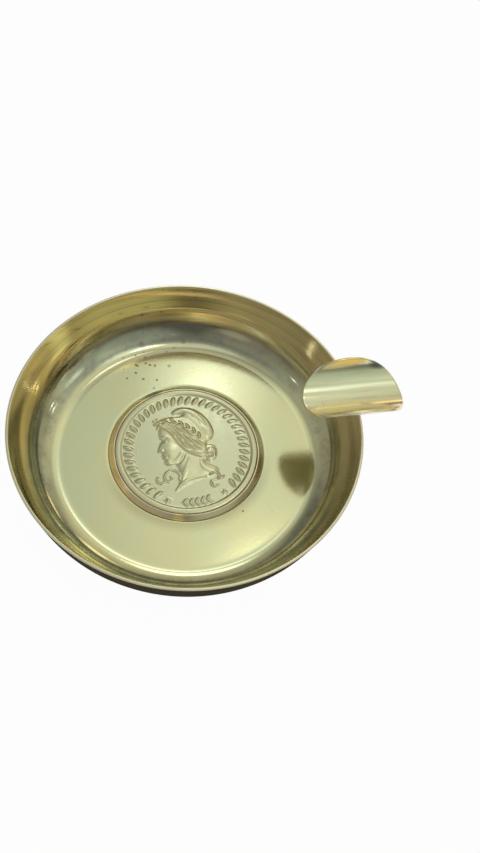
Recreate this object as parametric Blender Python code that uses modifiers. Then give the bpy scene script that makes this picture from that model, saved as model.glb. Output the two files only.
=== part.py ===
"""Round metal ashtray with a coin set in its floor and one bent cigarette rest on its rim.

Metres, +Z up. The origin is the centre of the flat foot that the ashtray stands on.
The rest points along +X.
"""

import math

import bmesh
import bpy

# Coin
COIN_DIAMETER = 0.0330
COIN_THICKNESS = 0.0023
COIN_RIM_WIDTH = 0.0008
COIN_RIM_HEIGHT = 0.00025
COIN_PROUD = 0.0007

# Coin relief, which stays lower than the coin's rim: a bust, with its cap, hair and bun a step higher
BUST_HEIGHT = 0.00014
CAP_HEIGHT = 0.00022
HAIR_HEIGHT = 0.0002
BUN_HEIGHT = 0.00023
RELIEF_ROUND = 0.0001
RELIEF_TURN = math.radians(2.8)

# Outlines of the relief, upright, as shares of the coin's radius from its middle
FACE_SHARES = (
    (-0.31, 0.43), (-0.34, 0.36), (-0.35, 0.25), (-0.33, 0.18), (-0.35, 0.13), (-0.38, 0.08), (-0.415, 0.015),
    (-0.385, -0.01), (-0.355, -0.03), (-0.365, -0.06), (-0.345, -0.08), (-0.36, -0.105), (-0.34, -0.135),
    (-0.34, -0.18), (-0.31, -0.22), (-0.20, -0.225),
)
NECK_SHARES = (
    (-0.17, -0.32), (-0.20, -0.485), (-0.28, -0.63), (-0.115, -0.565), (0.025, -0.52), (0.27, -0.48),
    (0.375, -0.405), (0.345, -0.345), (0.225, -0.25),
)
BUN_SHARES = ((0.26, -0.25), (0.315, -0.255), (0.40, -0.16), (0.405, -0.035), (0.295, 0.03))
CAP_BACK_SHARES = (
    (0.30, 0.065), (0.375, 0.11), (0.425, 0.205), (0.41, 0.345), (0.285, 0.58), (0.18, 0.66), (0.055, 0.695),
    (-0.055, 0.67), (-0.10, 0.63), (-0.035, 0.585),
)
CAP_FRONT_SHARES = ((-0.175, 0.555), (-0.31, 0.52), (-0.395, 0.47), (-0.34, 0.44))
CAP_BAND_SHARES = (
    (-0.30, 0.485), (-0.175, 0.515), (-0.01, 0.505), (0.15, 0.39), (0.22, 0.24), (0.28, 0.10),
)
HAIR_EDGE_SHARES = (
    (0.26, -0.16), (0.14, -0.165), (-0.02, -0.05), (-0.12, 0.13), (-0.21, 0.305), (-0.31, 0.415),
)
BUN_TOP_SHARES = ((0.24, -0.19), (0.30, -0.23), (0.38, -0.15), (0.38, -0.05), (0.29, 0.005), (0.25, -0.08))
INSET_SHARE = 0.06

# Border of slender leaves and two stars round the bust, with angles from +X
BORDER_INSET = 0.00045
LEAF_WIDTH = 0.0012
LEAF_LENGTH = 0.0025
LEAF_HEIGHT = 0.0002
BORDER_START = math.radians(233.8)
BORDER_END = math.radians(-48.2)
BORDER_LEAVES = 38
STAR_ANGLES = (math.radians(-115.4), math.radians(-60.3))
STAR_ARMS = 5
STAR_WAIST = 0.00055
STAR_HEIGHT = 0.00016

# Sheet-metal bowl
SHEET = 0.0006
RIM_DIAMETER = 0.0762
BOWL_DEPTH = 0.0146
CORNER_REACH = 0.0085
CORNER_HEIGHT = 0.0115
WALL_LEAN = math.radians(7.5)
EDGE_ROUND = 0.00012

# Ring that fills the seat round the coin
COLLAR_WIDTH = 0.00085
COLLAR_DROP = 0.0001
COLLAR_SLOPE_HEIGHT = 0.0006

# Cigarette rest: an oval blank bent round a level axis
REST_LENGTH = 0.0232
REST_BLANK_WIDTH = 0.0193
REST_BEND_RADIUS = 0.0069
REST_OVERHANG = 0.0101
REST_SHEET = 0.0007

# Solder saddle between the rim and the rest
SOLDER_BED = 0.0003
SOLDER_HALF_WIDTH = 0.0036
SOLDER_FILLET = 0.0012

# Clearance between neighbouring pieces, how far a cutter runs past what it cuts,
# and how deep a raised form is rooted in the coin
GAP = 0.0003
OVERRUN = 0.002
RELIEF_ROOT = 0.0003
MERGE = 0.00001

# Facets
TURN_STEPS = 80
CORNER_STEPS = 10
REST_CELLS = 20
SOLDER_STEPS = 20
ROUND_STEPS = 2
OUTLINE_STEPS = 2

# Heights above the table, worked out from the sizes above
SEAT_FLOOR_Z = SHEET
COIN_UNDERSIDE_Z = SEAT_FLOOR_Z + GAP
COIN_TOP_Z = COIN_UNDERSIDE_Z + COIN_THICKNESS
COIN_FIELD_Z = COIN_TOP_Z - COIN_RIM_HEIGHT
FLOOR_Z = COIN_TOP_Z - COIN_PROUD
RIM_Z = FLOOR_Z + BOWL_DEPTH
REST_UNDERSIDE_Z = RIM_Z + GAP + SOLDER_BED + GAP

# Radii and places along X, worked out the same way
COIN_RADIUS = COIN_DIAMETER / 2
COIN_FIELD_RADIUS = COIN_RADIUS - COIN_RIM_WIDTH - COIN_RIM_HEIGHT
BORDER_RADIUS = COIN_FIELD_RADIUS - BORDER_INSET - LEAF_LENGTH / 2
COLLAR_INNER_RADIUS = COIN_RADIUS + GAP
COLLAR_OUTER_RADIUS = COLLAR_INNER_RADIUS + COLLAR_WIDTH
SEAT_RADIUS = COLLAR_OUTER_RADIUS + GAP
FOOT_RADIUS = SEAT_RADIUS + SHEET
RIM_RADIUS = RIM_DIAMETER / 2
REST_CENTRE_X = RIM_RADIUS + REST_OVERHANG - REST_LENGTH / 2
REST_AXIS_Z = REST_UNDERSIDE_Z + REST_SHEET + REST_BEND_RADIUS


def clear_scene():
    for old in list(bpy.data.objects):
        bpy.data.objects.remove(old, do_unlink=True)


def new_collection(name):
    collection = bpy.data.collections.new(name)
    bpy.context.scene.collection.children.link(collection)
    return collection


def metal(name, colour, roughness):
    material = bpy.data.materials.new(name)
    material.use_nodes = True
    shader = material.node_tree.nodes["Principled BSDF"]
    shader.inputs["Base Color"].default_value = (*colour, 1.0)
    shader.inputs["Metallic"].default_value = 1.0
    shader.inputs["Roughness"].default_value = roughness
    return material


def add_object(name, mesh, collection, material=None):
    piece = bpy.data.objects.new(name, mesh)
    collection.objects.link(piece)
    if material is not None:
        mesh.materials.append(material)
    return piece


def shade(piece, angle=math.radians(35)):
    piece.data.shade_smooth()
    piece.data.set_sharp_from_angle(angle=angle)


def make_cutter(cutter):
    cutter.hide_render = True
    cutter.display_type = "WIRE"


def profile_mesh(name, points, closed):
    """Edges through (radius, height) points, in the XZ plane at +X."""
    mesh = bpy.data.meshes.new(name)
    shape = bmesh.new()
    chain = [shape.verts.new((radius, 0.0, height)) for radius, height in points]
    for start, end in zip(chain, chain[1:]):
        shape.edges.new((start, end))
    if closed:
        shape.edges.new((chain[-1], chain[0]))
    shape.to_mesh(mesh)
    shape.free()
    return mesh


def turn(piece, smooth=True):
    screw = piece.modifiers.new("turn", "SCREW")
    screw.axis = "Z"
    screw.angle = math.tau
    screw.steps = TURN_STEPS
    screw.render_steps = TURN_STEPS
    screw.use_merge_vertices = True
    screw.merge_threshold = MERGE
    screw.use_smooth_shade = smooth


def round_edges(piece, width, angle=math.radians(40)):
    bevel = piece.modifiers.new("rounded edges", "BEVEL")
    bevel.limit_method = "ANGLE"
    bevel.angle_limit = angle
    bevel.width = width
    bevel.segments = ROUND_STEPS


def wall_point(height, offset):
    """Radius of the wall at a height; offset is measured square to it, outwards from its outer face."""
    return RIM_RADIUS + (height - RIM_Z) * math.tan(WALL_LEAN) + offset / math.cos(WALL_LEAN)


def corner(offset):
    """Quarter ellipse that leaves the flat floor and meets the leaning wall.

    The offset moves it square to itself, away from the inside.
    """
    centre_z = FLOOR_Z + CORNER_HEIGHT
    reach = math.hypot(CORNER_REACH, CORNER_HEIGHT * math.tan(WALL_LEAN))
    centre_r = wall_point(centre_z, -SHEET) - reach
    start = -math.pi / 2
    end = -math.atan(CORNER_HEIGHT * math.tan(WALL_LEAN) / CORNER_REACH)
    points = []
    for step in range(CORNER_STEPS + 1):
        angle = start + (end - start) * step / CORNER_STEPS
        across, up = math.cos(angle) / CORNER_REACH, math.sin(angle) / CORNER_HEIGHT
        slant = math.hypot(across, up)
        radius = centre_r + CORNER_REACH * math.cos(angle) + offset * across / slant
        height = centre_z + CORNER_HEIGHT * math.sin(angle) + offset * up / slant
        points.append((radius, height))
    return points


def bowl_profile():
    """From the axis over the inside to the rim, then down the outside to the foot."""
    inside = corner(0.0)
    outside = corner(SHEET)[::-1]
    seat = [(0.0, SEAT_FLOOR_Z), (SEAT_RADIUS, SEAT_FLOOR_Z), (SEAT_RADIUS, FLOOR_Z)]
    rim = [(wall_point(RIM_Z, -SHEET), RIM_Z), (RIM_RADIUS, RIM_Z)]
    foot = [(FOOT_RADIUS, FLOOR_Z - SHEET), (FOOT_RADIUS, 0.0), (0.0, 0.0)]
    return seat + inside + rim + outside + foot


def build_bowl(collection):
    mesh = profile_mesh("bowl", bowl_profile(), closed=False)
    bowl = add_object("bowl", mesh, collection, metal("bowl_brass", (0.56, 0.53, 0.34), 0.28))
    turn(bowl)
    round_edges(bowl, EDGE_ROUND)
    return bowl


def as_mesh(name, holder, collection):
    """A closed mesh object of the holder's curve, in its place; the curve is removed."""
    bpy.context.view_layer.update()
    seen = holder.evaluated_get(bpy.context.evaluated_depsgraph_get())
    mesh = bpy.data.meshes.new_from_object(seen)
    shape = bmesh.new()
    shape.from_mesh(mesh)
    bmesh.ops.remove_doubles(shape, verts=shape.verts, dist=MERGE / 10)
    bmesh.ops.recalc_face_normals(shape, faces=shape.faces)
    shape.to_mesh(mesh)
    shape.free()
    mesh.name = name
    solid = add_object(name, mesh, collection)
    solid.matrix_world = holder.matrix_world
    bpy.data.objects.remove(holder, do_unlink=True)
    return solid


def raised_outline(name, shares, height, cutters):
    """A flat form with rounded shoulders that rises from inside the coin to a height above its field."""
    curve = bpy.data.curves.new(name + "_outline", "CURVE")
    curve.dimensions = "2D"
    curve.fill_mode = "BOTH"
    curve.resolution_u = OUTLINE_STEPS
    curve.extrude = (RELIEF_ROOT + height) / 2 - RELIEF_ROUND
    curve.bevel_depth = RELIEF_ROUND
    curve.bevel_resolution = 0
    curve.offset = -RELIEF_ROUND
    spline = curve.splines.new("BEZIER")
    spline.bezier_points.add(len(shares) - 1)
    spline.use_cyclic_u = True
    spline.use_smooth = False
    for point, (across, up) in zip(spline.bezier_points, shares):
        point.co = (across * COIN_RADIUS, up * COIN_RADIUS, 0.0)
        point.handle_left_type = "AUTO"
        point.handle_right_type = "AUTO"
    holder = add_object(curve.name, curve, cutters)
    holder.rotation_euler = (0.0, 0.0, RELIEF_TURN)
    holder.location = (0.0, 0.0, COIN_FIELD_Z + (height - RELIEF_ROOT) / 2)
    form = as_mesh(name, holder, cutters)
    make_cutter(form)
    return form


def raised_point(shape, outline, height):
    """A low pyramid over an outline of (x, y) points, with its root inside the coin."""
    root = [shape.verts.new((x, y, COIN_FIELD_Z - RELIEF_ROOT)) for x, y in outline]
    foot = [shape.verts.new((x, y, COIN_FIELD_Z)) for x, y in outline]
    middle = [sum(values) / len(outline) for values in zip(*outline)]
    tip = shape.verts.new((*middle, COIN_FIELD_Z + height))
    shape.faces.new(root[::-1])
    for index in range(len(outline)):
        after = (index + 1) % len(outline)
        shape.faces.new((root[index], root[after], foot[after], foot[index]))
        shape.faces.new((foot[index], foot[after], tip))


def polar(angle, radius):
    return (radius * math.cos(angle), radius * math.sin(angle))


def star_outline(angle):
    """Tips and waists of an upright star, as tall as a leaf and in line with the border."""
    centre = polar(angle, BORDER_RADIUS)
    points = []
    for index in range(2 * STAR_ARMS):
        reach = STAR_WAIST if index % 2 else LEAF_LENGTH / 2
        arm = polar(math.pi / 2 + RELIEF_TURN + math.pi * index / STAR_ARMS, reach)
        points.append((centre[0] + arm[0], centre[1] + arm[1]))
    return points


def leaf_outline(angle):
    """Four points of a leaf that stands out from the coin's middle."""
    side = math.atan(LEAF_WIDTH / 2 / BORDER_RADIUS)
    return [
        polar(angle, BORDER_RADIUS - LEAF_LENGTH / 2),
        polar(angle - side, BORDER_RADIUS),
        polar(angle, BORDER_RADIUS + LEAF_LENGTH / 2),
        polar(angle + side, BORDER_RADIUS),
    ]


def coin_border(cutters):
    """The stars and the leaves, as one set of separate solids."""
    mesh = bpy.data.meshes.new("coin_border")
    shape = bmesh.new()
    for angle in STAR_ANGLES:
        raised_point(shape, star_outline(angle), STAR_HEIGHT)
    for index in range(BORDER_LEAVES):
        angle = BORDER_START + (BORDER_END - BORDER_START) * index / (BORDER_LEAVES - 1)
        raised_point(shape, leaf_outline(angle), LEAF_HEIGHT)
    shape.to_mesh(mesh)
    shape.free()
    border = add_object("coin_border", mesh, cutters)
    make_cutter(border)
    return border


def drawn_in(shares):
    """An outline moved in a little towards its own middle."""
    middle_x, middle_y = [sum(values) / len(shares) for values in zip(*shares)]
    return [(x + (middle_x - x) * INSET_SHARE, y + (middle_y - y) * INSET_SHARE) for x, y in shares]


def coin_relief(cutters):
    """The bust, what stands higher on it, and the border."""
    cap = CAP_BACK_SHARES + CAP_FRONT_SHARES
    bust = FACE_SHARES + NECK_SHARES + BUN_SHARES + cap
    hair = CAP_BAND_SHARES + HAIR_EDGE_SHARES
    return [
        raised_outline("coin_bust", bust, BUST_HEIGHT, cutters),
        raised_outline("coin_cap", drawn_in(cap + CAP_BAND_SHARES), CAP_HEIGHT, cutters),
        raised_outline("coin_hair", drawn_in(hair), HAIR_HEIGHT, cutters),
        raised_outline("coin_bun", BUN_TOP_SHARES, BUN_HEIGHT, cutters),
        coin_border(cutters),
    ]


def build_coin(collection, cutters):
    """Disc with a raised rim and a bust in relief, standing in the seat."""
    points = [
        (0.0, COIN_FIELD_Z),
        (COIN_FIELD_RADIUS, COIN_FIELD_Z),
        (COIN_RADIUS - COIN_RIM_WIDTH, COIN_TOP_Z),
        (COIN_RADIUS, COIN_TOP_Z),
        (COIN_RADIUS, COIN_UNDERSIDE_Z),
        (0.0, COIN_UNDERSIDE_Z),
    ]
    mesh = profile_mesh("coin", points, closed=False)
    coin = add_object("coin", mesh, collection, metal("coin_metal", (0.58, 0.55, 0.38), 0.32))
    turn(coin, smooth=False)
    round_edges(coin, EDGE_ROUND)
    for form in coin_relief(cutters):
        join = coin.modifiers.new(form.name, "BOOLEAN")
        join.operation = "UNION"
        join.solver = "EXACT"
        join.object = form
    return coin


def build_collar(collection):
    """Ring between the coin's edge and the wall of the seat, sloping down to the floor."""
    top_z = COIN_TOP_Z - COLLAR_DROP
    points = [
        (COLLAR_INNER_RADIUS, COIN_UNDERSIDE_Z),
        (COLLAR_INNER_RADIUS, top_z),
        (COLLAR_INNER_RADIUS + COLLAR_WIDTH / 3, top_z),
        (COLLAR_OUTER_RADIUS, top_z - COLLAR_SLOPE_HEIGHT),
        (COLLAR_OUTER_RADIUS, COIN_UNDERSIDE_Z),
    ]
    mesh = profile_mesh("coin_collar", points, closed=True)
    collar = add_object("coin_collar", mesh, collection, metal("collar_brass", (0.45, 0.38, 0.22), 0.2))
    turn(collar)
    return collar


def bend_blank(across, half_length, half_width):
    """Place on the bent oval of a point of the unit disc, along the rest and across it."""
    along = across[0] * half_length
    angle = across[1] * half_width / REST_BEND_RADIUS
    return (
        REST_CENTRE_X + along,
        REST_BEND_RADIUS * math.sin(angle),
        REST_AXIS_Z - REST_BEND_RADIUS * math.cos(angle),
    )


def build_rest(collection):
    """An oval sheet: a square grid drawn in to a disc, stretched to the blank and bent."""
    mesh = bpy.data.meshes.new("cigarette_rest")
    shape = bmesh.new()
    bmesh.ops.create_grid(shape, x_segments=REST_CELLS, y_segments=REST_CELLS, size=1.0)
    for point in shape.verts:
        u, v = point.co.x, point.co.y
        disc = (u * math.sqrt(1 - v * v / 2), v * math.sqrt(1 - u * u / 2))
        point.co = bend_blank(disc, REST_LENGTH / 2, REST_BLANK_WIDTH / 2)
    shape.to_mesh(mesh)
    shape.free()
    rest = add_object("cigarette_rest", mesh, collection, metal("rest_brass", (0.56, 0.53, 0.34), 0.25))
    sheet = rest.modifiers.new("sheet", "SOLIDIFY")
    sheet.thickness = REST_SHEET
    sheet.offset = -1.0
    sheet.use_even_offset = True
    round_edges(rest, EDGE_ROUND)
    shade(rest)
    return rest


def rest_cutter(cutters):
    """The rest's outer face, larger by the gap, as a bar along X."""
    mesh = bpy.data.meshes.new("rest_clearance")
    shape = bmesh.new()
    radius = REST_BEND_RADIUS + REST_SHEET + GAP
    bmesh.ops.create_cone(
        shape, cap_ends=True, segments=TURN_STEPS, radius1=radius, radius2=radius, depth=REST_LENGTH + OVERRUN
    )
    shape.to_mesh(mesh)
    shape.free()
    cutter = add_object("rest_clearance", mesh, cutters)
    cutter.rotation_euler = (0.0, math.pi / 2, 0.0)
    cutter.location = (REST_CENTRE_X, 0.0, REST_AXIS_Z)
    make_cutter(cutter)
    return cutter


def rim_cutter(cutters):
    """The wall near the rim, larger by the gap all round, as a turned ring."""
    top = RIM_Z + GAP
    low = RIM_Z - SOLDER_FILLET - OVERRUN
    points = [
        (wall_point(low, -SHEET - GAP), low),
        (wall_point(top, -SHEET - GAP), top),
        (wall_point(top, GAP), top),
        (wall_point(low, GAP), low),
    ]
    mesh = profile_mesh("rim_clearance", points, closed=True)
    cutter = add_object("rim_clearance", mesh, cutters)
    turn(cutter)
    make_cutter(cutter)
    return cutter


def build_solder(collection, cutters):
    """A drop of solder astride the rim, under the rest and shaped by both."""
    mesh = bpy.data.meshes.new("rest_solder")
    shape = bmesh.new()
    bmesh.ops.create_uvsphere(shape, u_segments=SOLDER_STEPS, v_segments=SOLDER_STEPS, radius=1.0)
    half_length = SHEET / 2 + GAP + SOLDER_FILLET
    half_height = GAP + SOLDER_BED + SOLDER_FILLET
    bmesh.ops.scale(shape, vec=(half_length, SOLDER_HALF_WIDTH, half_height), verts=shape.verts)
    shape.to_mesh(mesh)
    shape.free()
    solder = add_object("rest_solder", mesh, collection, metal("solder", (0.42, 0.40, 0.34), 0.45))
    solder.location = (RIM_RADIUS - SHEET / 2, 0.0, RIM_Z + GAP)
    for cutter in (rest_cutter(cutters), rim_cutter(cutters)):
        cut = solder.modifiers.new(cutter.name, "BOOLEAN")
        cut.operation = "DIFFERENCE"
        cut.solver = "EXACT"
        cut.object = cutter
    shade(solder)
    return solder


def main():
    clear_scene()
    parts = new_collection("ashtray")
    cutters = new_collection("cutters")
    build_bowl(parts)
    build_coin(parts, cutters)
    build_collar(parts)
    build_rest(parts)
    build_solder(parts, cutters)


main()
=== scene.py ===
"""Looks of a round metal ashtray with a coin set in its floor and one bent cigarette rest on its rim.

Metres, +Z up, in the part's own frame. Tables of specks, spots and marks, and the coin's relief, are
in millimetres.
"""

import math

import bpy
import numpy as np
from mathutils import Matrix, Quaternion, Vector


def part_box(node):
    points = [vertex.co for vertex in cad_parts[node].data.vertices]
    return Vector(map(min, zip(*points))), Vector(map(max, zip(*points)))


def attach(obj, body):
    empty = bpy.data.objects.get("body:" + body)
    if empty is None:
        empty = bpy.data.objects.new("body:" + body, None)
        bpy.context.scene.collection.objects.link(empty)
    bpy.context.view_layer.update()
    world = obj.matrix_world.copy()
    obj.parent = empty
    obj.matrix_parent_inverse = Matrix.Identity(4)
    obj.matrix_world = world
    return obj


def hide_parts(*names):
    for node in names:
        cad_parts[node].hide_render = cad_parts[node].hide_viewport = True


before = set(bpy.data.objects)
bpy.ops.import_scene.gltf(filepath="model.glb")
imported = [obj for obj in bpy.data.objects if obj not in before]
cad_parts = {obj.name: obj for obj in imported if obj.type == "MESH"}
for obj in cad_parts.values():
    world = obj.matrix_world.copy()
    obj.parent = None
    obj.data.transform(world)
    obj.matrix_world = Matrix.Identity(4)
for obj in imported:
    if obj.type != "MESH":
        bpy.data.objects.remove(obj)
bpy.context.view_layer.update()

MM = 0.001

# Camera: the photograph's viewpoint, worked out from the rim's and the coin's ellipses
CAMERA_PLACE = Vector((-0.01659, -0.07333, 0.13509))
CAMERA_AIM = Vector((0.01027, -0.00374, 0.0171))
CAMERA_ROLL = math.radians(12.41)
CAMERA_LENS = 27.43
CAMERA_SENSOR = 36.0
CAMERA_NEAR = 0.004
CAMERA_FAR = 20.0

# Bowl, with the sizes that its solid has
BOWL_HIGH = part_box("bowl")[1]
RIM_RADIUS = BOWL_HIGH.x
RIM_Z = BOWL_HIGH.z
SHEET = 0.0006
SEAT_FLOOR_Z = SHEET
CORNER_REACH = 0.0085
CORNER_HEIGHT = 0.0115
WALL_LEAN = math.radians(7.5)
SEAT_RADIUS = 0.01795
SEAT_LIP = 0.00035
FOOT_RADIUS = SEAT_RADIUS + SHEET
RIM_INNER_ROUND = 0.00014
RIM_OUTER_ROUND = 0.00024
FOOT_ROUND = 0.0005
BOWL_STEPS = 288
CORNER_STEPS = 60
ARC_STEP = 0.00025
SATIN_RADIUS = 0.0288
CREASE_Z = 0.0092
CREASE_SPAN = 0.007
CREASE_DEPTH = 0.00012
LONGEST_STEP = 0.0006

# Slight waves of the bowl's sheet: how many go round, share, shift, and twist for each metre of height
WAVES = ((3, 1.0, 1.1, 0.0), (7, 0.6, 0.0, 260.0), (13, 0.4, 2.0, 0.0))
WAVE_DEPTH = 0.000018
WAVE_RISE = 0.004
WAVE_FALL = 0.002

# Coin
COIN_LOW, COIN_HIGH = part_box("coin")
COIN_RADIUS = COIN_HIGH.x
COIN_PROUD = 0.0007
FLOOR_Z = COIN_HIGH.z - COIN_PROUD
COIN_RIM_WIDTH = 0.0008
COIN_RIM_HEIGHT = 0.00025
COIN_EDGE_ROUND = 0.00012
COIN_FIELD_Z = COIN_HIGH.z - COIN_RIM_HEIGHT
COIN_BOTTOM_SHARE = 0.9
COIN_CORE_CELLS = 176
COIN_RING_CELLS = 70
COIN_CORE_SHARE = 0.5
COIN_CORE_BULGE = 0.12
COIN_TURN = math.radians(2.8)

# Collar round the coin
COLLAR_INNER_RADIUS = COIN_RADIUS + 0.00008
COLLAR_OUTER_RADIUS = SEAT_RADIUS - 0.00002
COLLAR_TOP_Z = COIN_HIGH.z - 0.0001
COLLAR_FLAT = 0.0003
COLLAR_TOE_Z = FLOOR_Z - 0.0001
COLLAR_ROUND = 0.0001
COLLAR_LONGEST_STEP = 0.0003

# Cigarette rest
REST_LOW, REST_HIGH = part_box("cigarette_rest")
REST_LENGTH = REST_HIGH.x - REST_LOW.x
REST_BLANK_WIDTH = 0.0193
REST_BEND_RADIUS = 0.0069
REST_SHEET = 0.0007
REST_EDGE_ROUND = 0.00022
REST_RINGS = 40
REST_STEPS = 192


def curve_through(points, closed=False, steps=8):
    """Smooth line through the points, as an array of places."""
    given = np.array(points, float)
    if closed:
        padded = np.vstack([given[-1:], given, given[:2]])
    else:
        padded = np.vstack([2 * given[0] - given[1], given, 2 * given[-1] - given[-2]])
    share = (np.arange(steps) / steps)[:, None]
    pieces = []
    for before, start, end, after in zip(padded, padded[1:], padded[2:], padded[3:]):
        bend = 2 * before - 5 * start + 4 * end - after
        twist = 3 * (start - end) + after - before
        pieces.append(start + share * (end - before + share * (bend + share * twist)) / 2)
    if not closed:
        pieces.append(given[-1:])
    return np.vstack(pieces)


def rounded(corners, radii, arc_steps=6):
    """A line through corners whose inner ones are rounded, each by its own radius."""
    places = [Vector(corner) for corner in corners]
    line = places[:1]
    for before, corner, after, radius in zip(places, places[1:], places[2:], radii):
        back = (before - corner).normalized()
        ahead = (after - corner).normalized()
        if radius == 0:
            line.append(corner)
            continue
        half = back.angle(ahead) / 2
        centre = corner + (back + ahead).normalized() * radius / math.sin(half)
        start = corner + back * radius / math.tan(half) - centre
        end = corner + ahead * radius / math.tan(half) - centre
        sweep = start.angle_signed(end)
        steps = max(arc_steps, int(radius / ARC_STEP))
        for step in range(steps + 1):
            line.append(centre + Matrix.Rotation(-sweep * step / steps, 2) @ start)
    line.append(places[-1])
    return [tuple(place) for place in line]


def divided(line, longest):
    """The line with its long stretches cut into shorter ones."""
    places = []
    for start, end in zip(line, line[1:]):
        count = max(1, math.ceil(math.dist(start, end) / longest))
        for step in range(count):
            share = step / count
            places.append(tuple(a + (b - a) * share for a, b in zip(start, end)))
    places.append(line[-1])
    return places


def add_object(name, data):
    thing = bpy.data.objects.new(name, data)
    bpy.context.scene.collection.objects.link(thing)
    return thing


def add_piece(name, vertices, faces, node, material):
    """A smooth piece that stands for a node of the part."""
    mesh = bpy.data.meshes.new(name)
    mesh.from_pydata([tuple(place) for place in vertices], [], faces)
    mesh.validate()
    mesh.update()
    mesh.shade_smooth()
    piece = add_object(name, mesh)
    mesh.materials.append(material)
    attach(piece, "root")
    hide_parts(node)


def ring_faces(rings):
    """Faces between rings of as many vertices, any of which may be a single point."""
    steps = max(len(ring) for ring in rings)
    faces = []
    for lower, upper in zip(rings, rings[1:]):
        for step in range(steps):
            corners = [lower[step % len(lower)], lower[(step + 1) % len(lower)]]
            corners += [upper[(step + 1) % len(upper)], upper[step % len(upper)]]
            faces.append(tuple(dict.fromkeys(corners)))
    return faces


def swept(paths, steps, place):
    """Vertices and faces of a ring for each path; one that starts with zero is a single point."""
    vertices = []
    rings = []
    for path in paths:
        count = steps if path[0] else 1
        rings.append(range(len(vertices), len(vertices) + count))
        vertices += [place(*path, math.tau * step / steps) for step in range(count)]
    if len(rings[0]) > 1:
        rings.append(rings[0])
    return vertices, ring_faces(rings)


def turned_place(radius, height, angle):
    return (radius * math.cos(angle), radius * math.sin(angle), height)


class Nodes:
    """A node tree that short calls build."""

    def __init__(self, tree):
        self.tree = tree

    def node(self, kind, *values, **settings):
        """A node with its settings, whose first inputs get the values in their order."""
        node = self.tree.nodes.new(kind)
        for setting, value in settings.items():
            setattr(node, setting, value)
        for socket, value in zip(node.inputs, values):
            self.feed(socket, value)
        return node

    def feed(self, socket, value):
        if isinstance(value, bpy.types.NodeSocket):
            self.tree.links.new(value, socket)
        else:
            socket.default_value = value

    def fill(self, node, **values):
        """The node, with its named inputs filled."""
        for name, value in values.items():
            self.feed(node.inputs[name], value)
        return node

    def join(self, operation, values):
        """The values joined one after another by an operation."""
        result, *others = values
        for value in others:
            result = self.node("ShaderNodeMath", result, value, operation=operation).outputs[0]
        return result

    def product(self, *values):
        return self.join("MULTIPLY", values)

    def total(self, *values):
        return self.join("ADD", values)

    def most(self, *values):
        return self.join("MAXIMUM", values)

    def minus(self, first, second):
        return self.join("SUBTRACT", (first, second))

    def off(self, value, middle):
        """How far a value lies from a middle one."""
        return self.node("ShaderNodeMath", self.minus(value, middle), operation="ABSOLUTE").outputs[0]

    def vector(self, operation, *values):
        """What vector maths gives: a number for a length or a dot product, else a vector."""
        node = self.node("ShaderNodeVectorMath", *values, operation=operation)
        return node.outputs["Value" if operation in ("LENGTH", "DOT_PRODUCT") else "Vector"]

    def remap(self, value, low, high, new_low=0.0, new_high=1.0):
        """A smooth step from one number to another between two values."""
        node = self.node("ShaderNodeMapRange", value, low, high, new_low, new_high)
        node.interpolation_type = "SMOOTHSTEP"
        return node.outputs[0]

    def fade(self, value, name):
        return self.remap(value, *FADES[name])


class Finish(Nodes):
    """One metal finish: a Principled BSDF and the nodes that drive it."""

    def __init__(self, name):
        self.material = bpy.data.materials.new(name)
        self.material.use_nodes = True
        super().__init__(self.material.node_tree)
        self.shader = self.tree.nodes["Principled BSDF"]
        self.place = self.node("ShaderNodeTexCoord").outputs["Object"]

    def axis(self, name, vector=None):
        """X, Y or Z of a vector, or else of the place."""
        return self.node("ShaderNodeSeparateXYZ", vector or self.place).outputs[name]

    def facing(self):
        """The direction that the surface faces."""
        return self.node("ShaderNodeNewGeometry").outputs["Normal"]

    def flat_place(self):
        """The place with its height left out."""
        return self.vector("MULTIPLY", self.place, (1.0, 1.0, 0.0))

    def radius(self):
        return self.vector("LENGTH", self.flat_place())

    def spot(self, place, inner, outer, strength, stretch=(1.0, 1.0, 1.0), warp=0.0):
        """A soft spot, in millimetres, with each axis counted at its own stretch."""
        away = self.vector("SUBTRACT", self.place, Vector(place) * MM)
        away = self.vector("LENGTH", self.vector("MULTIPLY", away, stretch))
        return self.remap(self.total(away, warp), inner * MM, outer * MM, strength, 0.0)

    def noise(self, layer, vector=None):
        """Cloudy noise: the width of its largest blotches, its detail and its roughness."""
        size, detail, roughness = layer
        node = self.node("ShaderNodeTexNoise", vector or self.place)
        return self.fill(node, Scale=1 / size, Detail=detail, Roughness=roughness).outputs[0]

    def line_noise(self, value, size, detail=2.0):
        """Noise along one number only, which makes lines where that number stays the same."""
        node = self.node("ShaderNodeTexNoise", noise_dimensions="1D")
        return self.fill(node, W=value, Scale=1 / size, Detail=detail).outputs[0]

    def dots(self, spacing):
        """Scattered round dots of mixed sizes, 1 in their middles and 0 between them."""
        node = self.fill(self.node("ShaderNodeTexVoronoi", self.place), Scale=1 / spacing)
        chance = self.node("ShaderNodeSeparateColor", node.outputs["Color"]).outputs[0]
        reach = self.fade(chance, "dot reach")
        return self.fade(self.minus(reach, node.outputs["Distance"]), "dot edge")

    def blend(self, factor, first, second):
        """A colour between two colours."""
        node = self.node("ShaderNodeMix", factor, data_type="RGBA")
        for socket, colour in ((node.inputs[6], first), (node.inputs[7], second)):
            self.feed(socket, colour if isinstance(colour, bpy.types.NodeSocket) else (*colour, 1.0))
        return node.outputs[2]

    def bump(self, height, depth):
        node = self.fill(self.node("ShaderNodeBump"), Strength=1.0, Distance=depth, Height=height)
        return node.outputs["Normal"]

    def complete(self, colour, roughness, normal=None, metallic=1.0):
        values = {"Base Color": colour, "Roughness": roughness, "Metallic": metallic}
        if normal:
            values["Normal"] = normal
        self.fill(self.shader, **values)
        return self.material


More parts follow.
